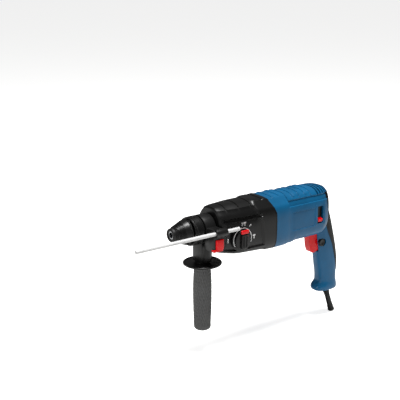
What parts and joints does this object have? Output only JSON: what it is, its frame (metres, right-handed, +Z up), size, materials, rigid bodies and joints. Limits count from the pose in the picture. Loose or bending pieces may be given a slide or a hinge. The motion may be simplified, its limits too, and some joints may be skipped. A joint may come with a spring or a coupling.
{
  "type": "rotary hammer",
  "caption": "Hand-held rotary hammer with slotted-drive chuck, side handle with depth rod, mode dial and pistol grip.",
  "frame": {"origin": "centre of the tool socket's mouth, at the front face of the dust cap", "axes": "+X back along the spindle to the handle, -X out of the socket, +Z up; the mode dial is on the -Y side"},
  "size_m": [0.4841, 0.0901, 0.2691],
  "materials": {
    "blue_housing": "fine-grained moulded polyamide",
    "black_housing": "satin moulded polyamide",
    "soft_grip": "matt moulded elastomer",
    "grey_grip": "diamond-textured elastomer",
    "dark_grey": "satin glass-filled polyamide",
    "red_control": "smooth moulded plastic",
    "light_rod": "smooth light grey",
    "steel": "ground",
    "dark_steel": "blackened",
    "aluminium": "die-cast",
    "copper": "wound and varnished",
    "carbon": "pressed graphite",
    "rubber": "moulded"
  },
  "bodies": {
    "housing": {"gear_housing": "black_housing", "clamping_neck": "black_housing", "motor_housing": "blue_housing", "handle_cover": "soft_grip", "intermediate_flange": "aluminium", "front_bearing": "steel", "shaft_seal": "rubber", "spindle_bush": "steel", "intermediate_bearings": "steel", "motor_bearings": "steel", "stator": "steel", "field_coils": "copper", "bearing_bracket": "black_housing", "switch_block": "black_housing", "cable_clamp": "black_housing", "cable_boot": "rubber", "housing_screws": "steel"},
    "spindle": {"spindle": "steel", "spindle_gear": "steel", "clutch_spring": "steel", "chuck_body": "dark_steel", "dust_cap": "rubber", "locking_balls": "steel", "sleeve_spring": "steel"},
    "sds_sleeve": {"sds_sleeve": "black_housing"},
    "quick_change_ring": {"quick_change_ring": "black_housing"},
    "impact_bolt": {"impact_bolt": "steel"},
    "striker": {"striker": "steel"},
    "piston": {"piston": "aluminium"},
    "piston_pin": {"piston_pin": "steel"},
    "wobble": {"wobble_ring": "steel"},
    "intermediate": {"intermediate_shaft": "steel", "drive_pinion": "steel", "intermediate_gear": "steel", "wobble_hub": "steel", "wobble_balls": "steel"},
    "rotor": {"rotor_shaft": "steel", "fan": "black_housing", "lamination": "dark_steel", "commutator": "copper"},
    "brush_ring": {"brush_ring": "black_housing", "brush_holders": "copper", "carbon_brushes": "carbon", "direction_lever": "red_control"},
    "side_handle": {"handle_collar": "dark_grey", "clamp_strap": "steel"},
    "grip": {"grip_core": "black_housing", "side_grip": "grey_grip", "clamp_bolt": "steel"},
    "depth_rod": {"depth_rod": "light_rod"},
    "depth_button": {"depth_button": "red_control"},
    "mode_dial": {"mode_dial": "black_housing"},
    "dial_button": {"dial_button": "red_control"},
    "shift_fork": {"shift_fork": "steel", "shift_sleeve": "steel"},
    "trigger": {"trigger": "red_control"},
    "lock_on_button": {"lock_on_button": "black_housing"}
  },
  "joints": [
    {"name": "rotor_spin", "type": "hinge", "parent": "housing", "child": "rotor", "pos_m": [0.25, 0, -0.01175], "axis": [1, 0, 0], "continuous": true},
    {"name": "intermediate_spin", "type": "hinge", "parent": "housing", "child": "intermediate", "pos_m": [0.14, 0, -0.03125], "axis": [1, 0, 0], "continuous": true},
    {"name": "spindle_spin", "type": "hinge", "parent": "housing", "child": "spindle", "pos_m": [0.07, 0, 0], "axis": [1, 0, 0], "continuous": true},
    {"name": "wobble_rock", "type": "hinge", "parent": "housing", "child": "wobble", "pos_m": [0.16, 0, -0.03125], "axis": [0, 1, 0], "range_deg": [-13, 13]},
    {"name": "piston_slide", "type": "slide", "parent": "housing", "child": "piston", "axis": [1, 0, 0], "range_m": [-0.0073, 0.0073]},
    {"name": "piston_pin_turn", "type": "hinge", "parent": "piston", "child": "piston_pin", "pos_m": [0.16, 0, 0], "axis": [0, 1, 0], "range_deg": [-13, 13]},
    {"name": "striker_slide", "type": "slide", "parent": "piston", "child": "striker", "axis": [1, 0, 0], "range_m": [-0.01, 0.0035]},
    {"name": "impact_bolt_slide", "type": "slide", "parent": "spindle", "child": "impact_bolt", "axis": [1, 0, 0], "range_m": [-0.0035, 0]},
    {"name": "sleeve_pull", "type": "slide", "parent": "spindle", "child": "sds_sleeve", "axis": [1, 0, 0], "range_m": [0, 0.008], "stiffness_N_per_m": 900},
    {"name": "ring_turn", "type": "hinge", "parent": "spindle", "child": "quick_change_ring", "pos_m": [0.045, 0, 0], "axis": [1, 0, 0], "range_deg": [0, 30], "stiffness_Nm_per_rad": 0.25},
    {"name": "brush_ring_turn", "type": "hinge", "parent": "housing", "child": "brush_ring", "pos_m": [0.29, 0, -0.01175], "axis": [1, 0, 0], "range_deg": [-30, 0]},
    {"name": "side_handle_swivel", "type": "hinge", "parent": "housing", "child": "side_handle", "pos_m": [0.067, 0, 0], "axis": [1, 0, 0], "range_deg": [-180, 0]},
    {"name": "grip_turn", "type": "hinge", "parent": "side_handle", "child": "grip", "pos_m": [0.0674, 0, -0.12], "axis": [0, 0, 1], "range_deg": [0, 720]},
    {"name": "depth_rod_slide", "type": "slide", "parent": "side_handle", "child": "depth_rod", "axis": [1, 0, 0], "range_m": [-0.03, 0.05]},
    {"name": "depth_button_press", "type": "slide", "parent": "side_handle", "child": "depth_button", "axis": [0, 1, 0], "range_m": [0, 0.0025], "stiffness_N_per_m": 1500},
    {"name": "mode_dial_turn", "type": "hinge", "parent": "housing", "child": "mode_dial", "pos_m": [0.1248, -0.04, -0.0202], "axis": [0, 1, 0], "range_deg": [-115, 105]},
    {"name": "dial_button_press", "type": "slide", "parent": "mode_dial", "child": "dial_button", "axis": [0, 1, 0], "range_m": [0, 0.0015], "stiffness_N_per_m": 1500},
    {"name": "shift_fork_slide", "type": "slide", "parent": "housing", "child": "shift_fork", "axis": [1, 0, 0], "range_m": [-0.00419, 0.00377]},
    {"name": "trigger_press", "type": "slide", "parent": "housing", "child": "trigger", "axis": [1, 0, 0], "range_m": [0, 0.006], "stiffness_N_per_m": 1800},
    {"name": "lock_on_press", "type": "slide", "parent": "housing", "child": "lock_on_button", "axis": [0, 1, 0], "range_m": [0, 0.0025], "stiffness_N_per_m": 1500}
  ],
  "couplings": [
    {"joint": "intermediate_spin", "follows": "rotor_spin", "ratio": -0.34483},
    {"joint": "spindle_spin", "follows": "rotor_spin", "ratio": 0.10889},
    {"joint": "piston_slide", "follows": "wobble_rock", "m_per_rad": 0.0318},
    {"joint": "piston_pin_turn", "follows": "wobble_rock", "ratio": 1},
    {"joint": "mode_dial_turn", "follows": "shift_fork_slide", "rad_per_m": 416.67}
  ]
}
